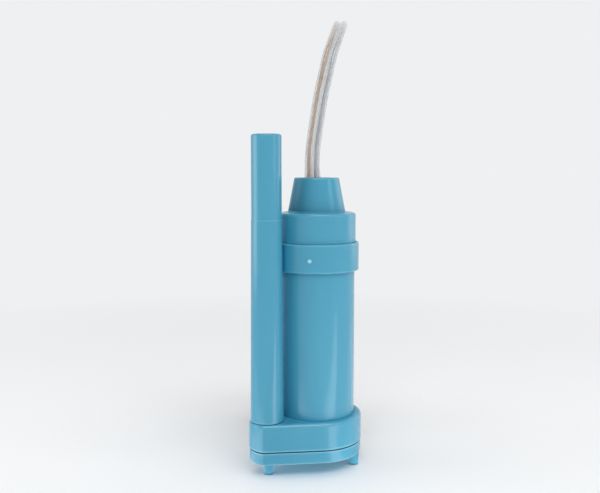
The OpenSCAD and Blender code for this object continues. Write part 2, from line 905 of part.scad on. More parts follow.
// A coil of wire round each pole
module rotor_windings() {
    inner_x = hub_r + 3 * seat_clear;
    outer_x = sqrt(pow(core_r - shoe_t - 2 * seat_clear, 2) - pow(winding_w / 2, 2));
    long = core_len + 2 * winding_over;
    color("#b4632e")
        at_motor()
            for (k = [0 : 2])
                rotate(120 * k)
                    translate([inner_x, 0, core_z - winding_over])
                        rotate([90, 0, 90])
                            linear_extrude(outer_x - inner_x)
                                difference() {
                                    union() {
                                        translate([-winding_w / 2, winding_w / 2])
                                            square([winding_w, long - winding_w]);
                                        for (y = [winding_w / 2, long - winding_w / 2])
                                            translate([0, y])
                                                circle(winding_w / 2);
                                    }
                                    translate([-pole_arm_w / 2 - seat_clear, winding_over - seat_clear])
                                        square([pole_arm_w + 2 * seat_clear, core_len + 2 * seat_clear]);
                                }
}

module commutator_hub() {
    color("#5b3a24")
        at_motor()
            pipe(
                commutator_hub_r, shaft_r + press_clear,
                commutator_len + commutator_foot, commutator_z - commutator_foot
            );
}

// Three copper segments with hooks for the wire
module commutator_segments() {
    half = 55;
    hook_h = 0.8;
    hook_reach = 0.8;
    hook_half = 12;
    color("#c27a45")
        at_motor()
            for (k = [0 : 2])
                translate([0, 0, commutator_z])
                    rotate(120 * k + 60) {
                        sector(commutator_r, commutator_hub_r + press_clear, commutator_len, half);
                        sector(commutator_r + hook_reach, commutator_hub_r + press_clear, hook_h, hook_half);
                    }
}

// Fibre washers on the shaft, next to each bush
module thrust_washers() {
    color("#d8c9a0")
        at_motor()
            for (z = [nose_z + bush_h + end_float, washer_z])
                pipe(shaft_r + washer_wall, shaft_r + press_clear, washer_h, z);
}

// Lip seal that runs on the shaft
module shaft_seal() {
    lip = 1;
    lip_slope = 0.4;
    color("#1d1d1f")
        at_motor()
            translate([0, 0, seal_z + seat_clear])
                rotate_extrude()
                    polygon([
                        [shaft_r + running_clear, 0], [seal_r - seat_clear, 0],
                        [seal_r - seat_clear, seal_h], [seal_r - lip, seal_h],
                        [seal_r - lip, lip + lip_slope], [shaft_r + running_clear, lip]
                    ]);
}

module seal_retainer() {
    color("#c0c4c8")
        at_motor()
            pipe(seal_r - seat_clear, shaft_r + air_gap, retainer_h, seal_z + seal_h + 2 * seat_clear);
}

// Open wheel: disc above, curved vanes below that stop just inside its edge
module impeller() {
    curve_r = 0.72 * impeller_r;
    vane_short = 0.3;
    bore = shaft_r + press_clear;
    color("#e8e8e2")
        at_motor() {
            pipe(impeller_r, bore, disc_h, disc_z);
            translate([0, 0, impeller_z])
                linear_extrude(disc_z - impeller_z + eps)
                    difference() {
                        union() {
                            circle(hub_r);
                            for (k = [0 : vanes - 1])
                                rotate(360 * k / vanes)
                                    intersection() {
                                        translate([impeller_r / 2, curve_r - impeller_r / 4])
                                            difference() {
                                                circle(curve_r);
                                                circle(curve_r - vane_w);
                                            }
                                        translate([0, -impeller_r])
                                            square(impeller_r);
                                        circle(impeller_r - vane_short);
                                    }
                        }
                        circle(bore);
                    }
        }
}

// The lead's free stretch: up out of the cone, over and down behind
module cable() {
    last = len(lead_route) - 1;
    color("#dfe3e4")
        at_lead()
            swept([
                for (i = [0 : last])
                    let (along = direction(lead_route, i, [0, 0, 1], [0, 1, 0]))
                    ring(lead_route[i], along, [1, 0, 0], lead_section)
            ], lead_loops);
}

// The rest of the lead, wound on edge
module cable_coil() {
    color("#d3d8da")
        at_lead()
            swept(coil_ring_list, [[for (k = [0 : len(coil_section) - 1]) k]]);
}

// Strap round the wall of the coil
module cable_tie() {
    gap = 0.35;
    first_z = coil_point(tie_angle).z;
    last_z = coil_point(tie_angle + 360 * floor(coil_turns - tie_angle / 360)).z;
    inner_h = first_z - last_z + lead_w + 2 * gap;
    inner_t = lead_t + 2 * gap;
    color("#f0f0ee")
        at_lead()
            translate([coil_middle.x, coil_middle.y, last_z - lead_w / 2 - gap])
                rotate(tie_angle)
                    translate([coil_r, tie_w / 2, 0])
                        rotate([90, 0, 0])
                            linear_extrude(tie_w)
                                difference() {
                                    translate([-inner_t / 2 - tie_t, -tie_t])
                                        square([inner_t + 2 * tie_t, inner_h + 2 * tie_t]);
                                    translate([-inner_t / 2, 0])
                                        square([inner_t, inner_h]);
                                }
}

// Stripped tails of the two cores
module core_ends() {
    color("#c9a27a")
        at_lead()
            translate(coil_tail)
                for (side = [1, -1])
                    translate([0, 0, side * lobe_x])
                        rotate([0, 90, coil_last + 90])
                            cylinder(r = core_d_bare / 2, h = core_len_bare, $fn = 24);
}

pump_housing();
outlet_riser();
bottom_plate();
top_cap();
cap_seal_ring();
cable_seal();
cable_entry();
lead_positive();
lead_negative();
suppressor_capacitor();
terminal_positive();
terminal_negative();
brush_positive();
brush_negative();
motor_end_bell();
bearing_upper();
bearing_lower();
motor_can();
magnet_left();
magnet_right();
magnet_springs();
motor_shaft();
rotor_core();
rotor_windings();
commutator_hub();
commutator_segments();
thrust_washers();
shaft_seal();
seal_retainer();
impeller();
cable();
cable_coil();
cable_tie();
core_ends();
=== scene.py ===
# %% [markdown]
# # A submersible water pump, dressed for the camera
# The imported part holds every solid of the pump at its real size. This lesson loads it as a fixed frame, sets
# the camera, makes the flexible lead, and then gives each solid the finish that it has on the real pump:
# glossy moulded plastic outside, and steel, copper, carbon and rubber inside. Lengths are in metres.

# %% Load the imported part
import math

import bpy
import numpy as np
from mathutils import Matrix, Vector


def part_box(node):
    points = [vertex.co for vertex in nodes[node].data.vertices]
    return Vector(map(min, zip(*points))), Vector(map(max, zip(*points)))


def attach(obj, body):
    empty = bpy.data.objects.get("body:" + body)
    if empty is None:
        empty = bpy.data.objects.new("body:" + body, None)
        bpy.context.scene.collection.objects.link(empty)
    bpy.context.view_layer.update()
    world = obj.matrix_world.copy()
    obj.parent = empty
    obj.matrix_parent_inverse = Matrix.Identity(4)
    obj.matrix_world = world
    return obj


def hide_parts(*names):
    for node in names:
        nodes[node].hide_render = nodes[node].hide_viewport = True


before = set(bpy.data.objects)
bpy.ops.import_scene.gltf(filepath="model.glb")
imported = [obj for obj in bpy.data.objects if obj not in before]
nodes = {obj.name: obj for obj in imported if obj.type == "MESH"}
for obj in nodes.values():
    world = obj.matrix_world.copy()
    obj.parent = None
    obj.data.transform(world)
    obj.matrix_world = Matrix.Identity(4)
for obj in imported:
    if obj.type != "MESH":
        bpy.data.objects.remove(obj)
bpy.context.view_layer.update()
bpy.ops.object.select_all(action="DESELECT")

# %% [markdown]
# ## Camera
# The picture was taken from a little above, with the delivery tube on the left and in front. A camera can be
# aimed with a tracking constraint, or turned by angles. Angles are chosen here because they were worked out
# from the edges in the picture: 35 degrees round from +Y and 5.5 degrees down, with a lens of 46.8 mm.

# %% Camera
shaft_low, shaft_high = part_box("motor_shaft")
motor_x = (shaft_low.x + shaft_high.x) / 2
heading, tilt = math.radians(35), math.radians(5.456)
eye_height, eye_left, eye_distance = 0.109, 0.00612, 0.287
right = Vector((math.cos(heading), -math.sin(heading), 0))
ahead = Vector((math.sin(heading), math.cos(heading), 0))
eye = Vector((motor_x, 0, eye_height)) - eye_left * right - eye_distance * ahead
bpy.ops.object.camera_add(location=eye, rotation=(math.pi / 2 - tilt, 0, -heading))
camera = bpy.context.object
camera.data.lens = 46.8
camera.data.sensor_width = 36
camera.data.clip_start = 0.01
bpy.context.scene.camera = camera
print("camera at", [round(v, 4) for v in eye])

# %% [markdown]
# ## The lead's route
# The lead is a clear flat twin cable. It comes out of the cone, stands up in a slight curve, goes over behind
# the pump and ends in a put-away coil wound on edge. A Bezier curve with a bevel could make it, but a flat
# cable needs its wide side steered, so the line and the wide direction are worked out point by point here,
# in the picture's own directions: across, behind and up, in millimetres.

# %% Route of the lead
lead_w, lead_t = 0.0054, 0.0027
mm_per_m = 1000
cone_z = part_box("top_cap")[1].z * mm_per_m
coil_r, coil_pitch, coil_turns, coil_low = 19.5, 5.85, 5.75, 2.86
coil_top = coil_low + coil_pitch * coil_turns
lead_rise = [
    (-1.7, 0, -11), (-1.7, 0, -5), (-1.7, 0, 0), (-1.7, 0, 4), (-1.5, 0, 9), (-0.8, 0, 15), (0.1, 0, 21),
    (1, 0, 27), (2.2, 0, 33), (3.5, 0.3, 39), (4.8, 1.6, 44.5), (6.9, 5.2, 50.7), (8.5, 11, 55.5),
    (9.3, 18, 58.2),
]
lead_fall = [
    (9.2, 26, 1), (8.2, 33, 0.979), (6.6, 39, 0.941), (5, 42.7, 0.89), (3.2, 44, 0.831), (2, 44.2, 0.781),
    (0.8, 44, 0.727), (-0.5, 43.5, 0.664), (-0.8, 42.5, 0.602), (0, 41, 0.54), (1.8, 38.5, 0.47),
    (4.5, 35, 0.4), (7.7, 30.5, 0.33), (10.4, 26, 0.268), (11.9, 22, 0.206), (12.2, 20.2, 0.144),
    (12.4, 22.2, 0.0777), (12.8, 27, 0.0287), (13.3, 33, 0.0054), (13.6, 39, 0),
]
drop = cone_z + lead_rise[-1][2] - coil_top
route = [(a, b, cone_z + h) for a, b, h in lead_rise] + [(a, b, coil_top + s * drop) for a, b, s in lead_fall]
coil_middle = (lead_fall[-1][0] - coil_r, lead_fall[-1][1] + lead_w * mm_per_m)


def smooth_line(points, steps=10):
    """Points on a smooth curve through the given ones."""
    p = np.array(points, float)
    t = np.concatenate([[0], np.cumsum(np.sqrt(np.linalg.norm(np.diff(p, axis=0), axis=1)))])
    slope = np.gradient(p, t, axis=0)
    u = np.linspace(0, 1, steps, endpoint=False)[:, None]
    made = []
    for i in range(len(p) - 1):
        h = t[i + 1] - t[i]
        made.append(
            (2 * u**3 - 3 * u**2 + 1) * p[i] + (u**3 - 2 * u**2 + u) * h * slope[i]
            + (3 * u**2 - 2 * u**3) * p[i + 1] + (u**3 - u**2) * h * slope[i + 1]
        )
    return np.concatenate(made + [p[-1:]])


free = smooth_line(route)
coil_step = 3
turn = np.radians(np.arange(0, 360 * coil_turns + 1, coil_step))
roll = np.clip(turn / math.pi, 0, 1)
roll = math.pi / 2 * roll**2 * (3 - 2 * roll)
coil = np.stack([
    coil_middle[0] + coil_r * np.cos(turn), coil_middle[1] + coil_r * np.sin(turn),
    coil_top - coil_pitch * turn / (2 * math.pi),
], 1)
coil_wide = np.stack([np.cos(roll) * np.cos(turn), np.cos(roll) * np.sin(turn), np.sin(roll)], 1)
tail_way = np.array([-math.sin(turn[-1]), math.cos(turn[-1]), 0])
tail = coil[-1] + lead_w * mm_per_m * tail_way
line = np.concatenate([free, coil, [tail]])
wide = np.concatenate([np.tile([1.0, 0, 0], (len(free), 1)), coil_wide, [[0, 0, 1]]])
print("lead drawn through", len(line), "points")

# %% Even spacing, and into the part's frame


def even(points, sides, spacing, passes=6):
    """The line and its wide directions at an even spacing, with small kinks smoothed out."""
    s = np.concatenate([[0], np.cumsum(np.linalg.norm(np.diff(points, axis=0), axis=1))])
    at = np.linspace(0, s[-1], int(s[-1] / spacing) + 1)
    p, w = (np.stack([np.interp(at, s, v[:, k]) for k in range(3)], 1) for v in (points, sides))
    for _ in range(passes):
        p[2:-2] = (p[1:-3] + 2 * p[2:-2] + p[3:-1]) / 4
        w[2:-2] = (w[1:-3] + 2 * w[2:-2] + w[3:-1]) / 4
    return p, w


def to_part(v):
    """Across, behind and up to the part's own axes."""
    return v @ np.array([right, ahead, (0, 0, 1)])


ring_spacing = 0.8
line, wide = even(line, wide, ring_spacing)
path = to_part(line) / mm_per_m + np.array([motor_x, 0, 0])
along = np.gradient(path, axis=0)
along /= np.linalg.norm(along, axis=1)[:, None]
wide = to_part(wide)
wide -= np.sum(wide * along, 1)[:, None] * along
wide /= np.linalg.norm(wide, axis=1)[:, None]
thick = np.cross(along, wide)

# %% [markdown]
# ## Clear sheath
# On the real lead two round lobes of clear soft plastic are joined by a thin web. An extruded profile is the
# natural way to think of it, so one section with a waist is carried along the line, with its wide axis turned
# as the route says. Each ring keeps its place along the lead in the UV map for the finish.

# %% Sweep helper and clear sheath


def sweep(name, centres, sections, axes):
    """Closed tube through one section per centre; its UV map holds metres along and share around."""
    rings, n = len(centres), len(sections[0])
    u, v = axes
    verts = np.concatenate([c + s[:, :1] * a + s[:, 1:] * b for c, s, a, b in zip(centres, sections, u, v)])
    faces = [
        (i * n + k, i * n + (k + 1) % n, (i + 1) * n + (k + 1) % n, (i + 1) * n + k)
        for i in range(rings - 1) for k in range(n)
    ]
    faces += [tuple(range(n))[::-1], tuple(range((rings - 1) * n, rings * n))]
    mesh = bpy.data.meshes.new(name)
    mesh.from_pydata(verts.tolist(), [], faces)
    s = np.concatenate([[0], np.cumsum(np.linalg.norm(np.diff(centres, axis=0), axis=1))])
    uv = mesh.uv_layers.new(name="lead")
    places = []
    for f in mesh.polygons:
        first = f.vertices[0] % n
        for k in f.vertices:
            around = k % n if k % n or first < n / 2 else n
            places += [s[k // n], around / n]
    uv.data.foreach_set("uv", places)
    mesh.polygons.foreach_set("use_smooth", [True] * (len(faces) - 2) + [False, False])
    piece = bpy.data.objects.new(name, mesh)
    bpy.context.scene.collection.objects.link(piece)
    return piece


lobe_r = lead_t / 2
lobe_x = lead_w / 2 - lobe_r
web_t = 0.001
web = math.asin(web_t / 2 / lobe_r)
lobe_points = 15
turns = np.linspace(-math.pi + web, math.pi - web, lobe_points)
lobe = np.stack([lobe_x + lobe_r * np.cos(turns), lobe_r * np.sin(turns)], 1)
lead_section = np.concatenate([lobe, -lobe])
lead_sheath = sweep("lead_sheath", path, [lead_section] * len(path), (wide, thick))
print("sheath faces", len(lead_sheath.data.polygons))

# %% [markdown]
# ## Stranded cores
# Each lobe holds a bunch of fine wires, bare copper in one and tinned in the other, and at the far end both
# are stripped. Twisting many separate wires would cost a great many faces, so each bunch is one tube with
# seven rounded ridges in its section, and the section turns as it runs along, as a rope's lay does.

# %% Stranded cores
bare_length, bare_rings = 0.008, 10
lay_length = 0.013
core_r, ridges, ridge_share = 0.00056, 7, 0.16
ridge = np.linspace(0, 2 * math.pi, 4 * ridges, endpoint=False)
bunch = core_r * (1 + ridge_share * np.abs(np.cos(ridges / 2 * ridge)))
bare_steps = np.linspace(bare_length / bare_rings, bare_length, bare_rings)
core_path = np.concatenate([path, path[-1] + np.outer(bare_steps, along[-1])])
core_wide = np.concatenate([wide, np.repeat(wide[-1:], bare_rings, 0)])
core_thick = np.concatenate([thick, np.repeat(thick[-1:], bare_rings, 0)])
core_s = np.concatenate([[0], np.cumsum(np.linalg.norm(np.diff(core_path, axis=0), axis=1))])
cores = {}
for name, side in (("core_copper", -1), ("core_tinned", 1)):
    centres = core_path + side * lobe_x * core_wide
    sections = [
        np.stack([bunch * np.cos(ridge + a), bunch * np.sin(ridge + a)], 1)
        for a in 2 * math.pi * core_s / lay_length
    ]
    cores[name] = sweep(name, centres, sections, (core_wide, core_thick))
    print(name, "faces", len(cores[name].data.polygons))

# %% [markdown]
# ## Tie round the coil
# A nylon tie keeps the coil together: a flat strap that goes round the wall of turns, through a small square
# head, and ends in a short tail with ratchet teeth. It could be swept along a line like the lead, but it is
# modelled by hand steps, which suit its square forms: a cube becomes the strap when its two open sides are
# deleted, and the head and tail are further cubes that are shaped and joined.

# %% Tie: strap
tie_angle, tied_pitches = math.radians(150), 5
tie_w, tie_t, tie_slack = 0.0026, 0.0008, 0.00035
lowest_turn = coil_top - coil_pitch * (tie_angle / (2 * math.pi) + tied_pitches)
tie_low = lowest_turn / mm_per_m - lead_w / 2 - tie_slack
tie_h = tied_pitches * coil_pitch / mm_per_m + lead_w + 2 * tie_slack
tie_deep = lead_t + 2 * tie_slack


def edit(obj, pick):
    """Edit mode on one object with the faces selected for which pick(centre, normal) is true."""
    bpy.ops.object.select_all(action="DESELECT")
    obj.select_set(True)
    bpy.context.view_layer.objects.active = obj
    for f in obj.data.polygons:
        f.select = bool(pick(f.center, f.normal))
    for e in obj.data.edges:
        e.select = False
    for v in obj.data.vertices:
        v.select = False
    bpy.ops.object.mode_set(mode="EDIT")
    bpy.ops.mesh.select_mode(type="FACE")


def box(name, size, middle):
    """A cube primitive brought to its size and place, with both in its mesh."""
    bpy.ops.object.select_all(action="DESELECT")
    bpy.ops.mesh.primitive_cube_add(size=1, location=middle)
    made = bpy.context.object
    made.name = made.data.name = name
    made.scale = size
    bpy.ops.object.transform_apply(location=True, rotation=True, scale=True)
    return made


def apply_modifier(obj, kind, **values):
    """Adds a modifier with these values and applies it."""
    bpy.ops.object.select_all(action="DESELECT")
    obj.select_set(True)
    bpy.context.view_layer.objects.active = obj
    added = obj.modifiers.new(kind.lower(), kind)
    for key, value in values.items():
        setattr(added, key, value)
    bpy.ops.object.modifier_apply(modifier=added.name)


squarely = 0.9
strap_bend, strap_edge = 0.0011, 0.00018
coil_tie = box("coil_tie", (tie_deep, tie_w, tie_h), (0, 0, tie_h / 2))
edit(coil_tie, lambda c, n: abs(n.y) > squarely)
bpy.ops.mesh.delete(type="FACE")
bpy.ops.object.mode_set(mode="OBJECT")
apply_modifier(coil_tie, "BEVEL", width=strap_bend, segments=5, limit_method="ANGLE")
apply_modifier(coil_tie, "SOLIDIFY", thickness=tie_t, offset=1)
apply_modifier(coil_tie, "BEVEL", width=strap_edge, segments=2, limit_method="ANGLE", angle_limit=1.0)
print("strap faces", len(coil_tie.data.polygons))

# %% Tie: head and toothed tail
head_size = (0.0042, 0.0044, 0.003)
head_rise, head_edge, slot_rim, slot_deep = 0.0013, 0.0003, 0.0009, 0.0012
head = box("tie_head", head_size, (0, 0, tie_h + tie_t + head_rise))
edit(head, lambda c, n: abs(n.x) > squarely)
bpy.ops.mesh.inset(thickness=slot_rim)
bpy.ops.mesh.extrude_region_shrink_fatten(TRANSFORM_OT_shrink_fatten={"value": -slot_deep})
bpy.ops.object.mode_set(mode="OBJECT")
apply_modifier(head, "BEVEL", width=head_edge, segments=3, limit_method="ANGLE")

tooth, teeth = 0.0007, 12
tail_w, tail_start, tail_rise = tie_w * 0.86, -0.0014, 0.0024
tooth_rim, tooth_deep, tooth_edge = 0.00008, 0.0002, 0.00006
tail_middle = (tail_start - teeth * tooth / 2, 0, tie_h + tail_rise)
tail_strap = box("tie_tail", (teeth * tooth, tail_w, tie_t), tail_middle)
for k in range(1, teeth):
    edit(tail_strap, lambda c, n: True)
    bpy.ops.mesh.bisect(plane_co=(tail_start - k * tooth, 0, 0), plane_no=(1, 0, 0))
    bpy.ops.object.mode_set(mode="OBJECT")
edit(tail_strap, lambda c, n: n.z < -squarely)
bpy.ops.mesh.inset(thickness=tooth_rim, use_individual=True)
bpy.ops.mesh.extrude_faces_move(TRANSFORM_OT_shrink_fatten={"value": -tooth_deep})
bpy.ops.object.mode_set(mode="OBJECT")
apply_modifier(tail_strap, "BEVEL", width=tooth_edge, segments=1, limit_method="ANGLE")
bpy.ops.object.select_all(action="DESELECT")
for o in (head, tail_strap, coil_tie):
    o.select_set(True)
bpy.context.view_layer.objects.active = coil_tie
bpy.ops.object.join()
place = to_part(np.array([
    coil_middle[0] + coil_r * math.cos(tie_angle), coil_middle[1] + coil_r * math.sin(tie_angle), 0,
])) / mm_per_m
coil_tie.data.transform(
    Matrix.Translation((motor_x + place[0], place[1], tie_low)) @ Matrix.Rotation(tie_angle - heading, 4, "Z")
)
bpy.ops.object.shade_smooth_by_angle(angle=math.radians(40))
print("tie faces", len(coil_tie.data.polygons), "at", [round(float(v), 4) for v in place])

# %% [markdown]
# ## What the lead is
# The sheath stands for the lead's solids, the cores for the stripped ends and the tie for its plain loop.
# Those solids are hidden, and the new pieces all ride on the pump's housing.

for piece in (lead_sheath, *cores.values(), coil_tie):
    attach(piece, "housing")
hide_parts("cable", "cable_coil", "cable_entry")
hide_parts("core_ends")
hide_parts("cable_tie")

# %% [markdown]
# ## Shared effects
# Several finishes need the same things: slow colour drift, fine grain, pale edges (wear on the metals and a
# painted highlight on the plastics) and painted shade in corners.
# Painted masks would do for one piece, but here each effect is a node group, built once and placed in each
# material with its own values. A group gives out masks only; the shader stays in the material.

# %% Node helpers


def new_group(name, inputs, outputs):
    """An empty shader group with float inputs and outputs."""
    group = bpy.data.node_groups.new(name, "ShaderNodeTree")
    for label, value in inputs:
        group.interface.new_socket(label, in_out="INPUT", socket_type="NodeSocketFloat").default_value = value
    for label in outputs:
        group.interface.new_socket(label, in_out="OUTPUT", socket_type="NodeSocketFloat")
    return group, group.nodes.new("NodeGroupInput"), group.nodes.new("NodeGroupOutput")


def add(tree, kind, values=(), **settings):
    """A node with its settings and its input values."""
    made = tree.nodes.new(kind)
    for key, value in settings.items():
        setattr(made, key, value)
    for key, value in dict(values).items():
        made.inputs[key].default_value = value
    return made


def spread(tree, source, low, high, to_low=0.0, to_high=1.0):
    """Maps a value from one range to another, clamped."""
    made = add(tree, "ShaderNodeMapRange", {1: low, 2: high, 3: to_low, 4: to_high})
    tree.links.new(source, made.inputs[0])
    return made.outputs[0]


# %% Group: drift and grain
skin, skin_in, skin_out = new_group(
    "drift_and_grain", [("Drift Scale", 40), ("Grain Scale", 1500), ("Stretch", 0.2)],
    ["Drift", "Grain", "Scuff"],
)
coords = add(skin, "ShaderNodeTexCoord")
squeeze = add(skin, "ShaderNodeCombineXYZ", {0: 1, 1: 1})
skin.links.new(skin_in.outputs["Stretch"], squeeze.inputs[2])
stretched = add(skin, "ShaderNodeVectorMath", operation="MULTIPLY")
skin.links.new(coords.outputs["Object"], stretched.inputs[0])
skin.links.new(squeeze.outputs[0], stretched.inputs[1])
drift = add(skin, "ShaderNodeTexNoise", {"Detail": 3.0, "Roughness": 0.55})
skin.links.new(stretched.outputs[0], drift.inputs["Vector"])
skin.links.new(skin_in.outputs["Drift Scale"], drift.inputs["Scale"])
grain = add(skin, "ShaderNodeTexNoise", {"Detail": 2.0, "Roughness": 0.5})
skin.links.new(coords.outputs["Object"], grain.inputs["Vector"])
skin.links.new(skin_in.outputs["Grain Scale"], grain.inputs["Scale"])
scuff = add(skin, "ShaderNodeTexNoise", {"Scale": 420.0, "Detail": 6.0, "Roughness": 0.7})
skin.links.new(coords.outputs["Object"], scuff.inputs["Vector"])
skin.links.new(spread(skin, drift.outputs["Fac"], 0.3, 0.7), skin_out.inputs["Drift"])
skin.links.new(grain.outputs["Fac"], skin_out.inputs["Grain"])
skin.links.new(spread(skin, scuff.outputs["Fac"], 0.7, 0.85), skin_out.inputs["Scuff"])
print("group", skin.name)

# %% Group: edges, and painted shade in corners
rim_rays = 6
rims, rims_in, rims_out = new_group(
    "edges_and_corners", [("Edge Width", 0.0008), ("Corner Width", 0.0034), ("Joint Width", 0.0009)],
    ["Edge", "Gap Shade", "Joint"],
)
inner = add(rims, "ShaderNodeAmbientOcclusion", samples=rim_rays, inside=True)
outer = add(rims, "ShaderNodeAmbientOcclusion", samples=rim_rays)
close = add(rims, "ShaderNodeAmbientOcclusion", samples=rim_rays)
rims.links.new(rims_in.outputs["Edge Width"], inner.inputs["Distance"])
rims.links.new(rims_in.outputs["Corner Width"], outer.inputs["Distance"])
rims.links.new(rims_in.outputs["Joint Width"], close.inputs["Distance"])
# Edge: pale edges, a painted highlight on the plastics and wear on the metals.
rims.links.new(spread(rims, inner.outputs["AO"], 0.45, 0.95, 1, 0), rims_out.inputs["Edge"])
# Corner: a mask for painted shade where another piece stands close.
rims.links.new(spread(rims, outer.outputs["AO"], 0.35, 0.9, 1, 0), rims_out.inputs["Gap Shade"])
rims.links.new(spread(rims, close.outputs["AO"], 0.2, 0.6, 1, 0), rims_out.inputs["Joint"])
print("group", rims.name)

# %% [markdown]
# ## Moulded plastic
# The pump's outside is glossy turquoise plastic. Under soft light it shows a slow drift of tone where the
# melt flowed, a very fine orange-peel skin and dark joints. Its edges get a painted highlight, and where two
# pieces stand close a painted shade makes the tone deep and dull. The collar's gate nub gets a painted glint,
# a small pale spot, and the cone gets a painted shade on its side towards the delivery tube. A photograph
# could be projected, but it would only fit one side, so all of this is worked out from the object's own
# coordinates.

# %% Plastic finish


def new_material(name):
    """A material with a shader, and the shader's tree."""
    made = bpy.data.materials.new(name)
    made.use_nodes = True
    tree = made.node_tree
    shader = tree.nodes["Principled BSDF"]
    return made, tree, shader


def blend_colours(tree, mask, first, second):
    """A colour between two others by a mask; first may be a socket."""
    mix = add(tree, "ShaderNodeMix", data_type="RGBA")
    tree.links.new(mask, mix.inputs["Factor"])
    if isinstance(first, bpy.types.NodeSocket):
        tree.links.new(first, mix.inputs[6])
    else:
        mix.inputs[6].default_value = (*first, 1)
    mix.inputs[7].default_value = (*second, 1)
    return mix.outputs[2]


def scaled(tree, source, by):
    """A mask made weaker."""
    made = add(tree, "ShaderNodeMath", {1: by}, operation="MULTIPLY")
    tree.links.new(source, made.inputs[0])
    return made.outputs[0]


def grain_bump(tree, shader, height, strength, depth):
    """A bump from a height, into the shader's normal."""
    bump = add(tree, "ShaderNodeBump", {"Strength": strength, "Distance": depth})
    tree.links.new(height, bump.inputs["Height"])
    tree.links.new(bump.outputs[0], shader.inputs["Normal"])


def larger(tree, first, second):
    """The larger of two masks."""
    made = add(tree, "ShaderNodeMath", operation="MAXIMUM")
    tree.links.new(first, made.inputs[0])
    tree.links.new(second, made.inputs[1])
    return made.outputs[0]


def painted_glint_mask(tree, at, strength=0.55, solid_r=0.0004, faded_r=0.0011):
    """Mask of a painted glint: a small round pale spot that fades outwards."""
    coords = add(tree, "ShaderNodeTexCoord")
    reach = add(tree, "ShaderNodeVectorMath", {1: at}, operation="DISTANCE")
    tree.links.new(coords.outputs["Object"], reach.inputs[0])
    return spread(tree, reach.outputs["Value"], solid_r, faded_r, strength, 0)


def shade_mask(tree, height, width=0.02, fade=0.0006):
    """Mask of painted shade: what faces a near neighbour, on the part of a piece above a height."""
    wider = add(tree, "ShaderNodeGroup", node_tree=rims)
    wider.inputs["Corner Width"].default_value = width
    coords = add(tree, "ShaderNodeTexCoord")
    parts = add(tree, "ShaderNodeSeparateXYZ")
    tree.links.new(coords.outputs["Object"], parts.inputs[0])
    shade = add(tree, "ShaderNodeMath", operation="MULTIPLY")
    tree.links.new(wider.outputs["Gap Shade"], shade.inputs[0])
    tree.links.new(spread(tree, parts.outputs["Z"], height, height + fade), shade.inputs[1])
    return shade.outputs[0]


# Shares of the painted edge highlight and the painted gap shade in the colour, and the gloss lost in that
# shade.
painted_light_share, corner_dulls = 0.75, 0.6
# Painted shade on the cone: its share of the tone, and the shine where lit and where shaded.
shade_share, lit_shine, shaded_shine = 0.35, 0.5, 0.05
peel_scale, peel_bump, peel_depth = 900, 0.12, 0.00003


def plastic(
    name, tone, tone_two, edge, corner, joint, gloss=(0.18, 0.25), drift_scale=38, painted_glint=None,
    shaded_from=None,
):
    """Moulded plastic: drifting tone, painted highlight on edges, painted shade and dull gloss in corners,
    fine skin, and a painted glint or painted shade if asked.
    """
    made, tree, shader = new_material(name)
    surface = add(tree, "ShaderNodeGroup", node_tree=skin)
    surface.inputs["Drift Scale"].default_value = drift_scale
    surface.inputs["Grain Scale"].default_value = peel_scale
    rim = add(tree, "ShaderNodeGroup", node_tree=rims)
    painted_shade_mask = rim.outputs["Gap Shade"]
    colour = blend_colours(tree, surface.outputs["Drift"], tone, tone_two)
    # Painted highlight: convex edges get a paler colour.
    colour = blend_colours(tree, scaled(tree, rim.outputs["Edge"], painted_light_share), colour, edge)
    # Painted shade: where another piece stands close, the colour turns deep and dark.
    colour = blend_colours(tree, scaled(tree, painted_shade_mask, painted_light_share), colour, corner)
    colour = blend_colours(tree, rim.outputs["Joint"], colour, joint)
    if painted_glint:
        # Painted glint: a small pale spot, paler than the edge highlight.
        colour = blend_colours(tree, painted_glint_mask(tree, painted_glint), colour, tuple(c**0.5 for c in edge))
    if shaded_from:
        # Painted shade: a darker colour and less shine on the side that faces a near neighbour.
        shade = shade_mask(tree, shaded_from)
        colour = blend_colours(tree, shade, colour, tuple(shade_share * c for c in tone))
        shine = spread(tree, shade, 0, 1, lit_shine, shaded_shine)
        tree.links.new(shine, shader.inputs["Specular IOR Level"])
        painted_shade_mask = larger(tree, painted_shade_mask, shade)
    tree.links.new(colour, shader.inputs["Base Color"])
    dull = add(tree, "ShaderNodeMath", {1: corner_dulls, 2: gloss[0]}, operation="MULTIPLY_ADD")
    tree.links.new(painted_shade_mask, dull.inputs[0])
    rough = add(tree, "ShaderNodeMath", operation="ADD")
    tree.links.new(spread(tree, surface.outputs["Scuff"], 0, 1, 0, gloss[1] - gloss[0]), rough.inputs[0])
    tree.links.new(dull.outputs[0], rough.inputs[1])
    tree.links.new(rough.outputs[0], shader.inputs["Roughness"])
    grain_bump(tree, shader, surface.outputs["Grain"], peel_bump, peel_depth)
    return made


# %% Plastics
# Besides the two tones, one colour is a painted highlight for the edges and one a painted shade for close
# gaps; the joint colour is for dark joints.
turquoise_tones = {
    "tone": (0.051, 0.278, 0.412), "tone_two": (0.061, 0.302, 0.44), "edge": (0.24, 0.54, 0.65),
    "corner": (0.014, 0.31, 0.51), "joint": (0.002, 0.03, 0.07),
}
# Tip of the collar's gate nub, where a painted glint goes.
nub_angle, nub_reach, nub_z = math.radians(225), 0.01615, 0.07785
nub_tip = (motor_x + nub_reach * math.cos(nub_angle), nub_reach * math.sin(nub_angle), nub_z)
# Above the cone's foot, a painted shade darkens the side towards the delivery tube.
cone_foot = 0.0945
turquoise = plastic("turquoise_moulded", **turquoise_tones)
turquoise_glinted = plastic("turquoise_with_gate_glint", **turquoise_tones, painted_glint=nub_tip)
turquoise_cone_shaded = plastic("turquoise_with_cone_shade", **turquoise_tones, shaded_from=cone_foot)
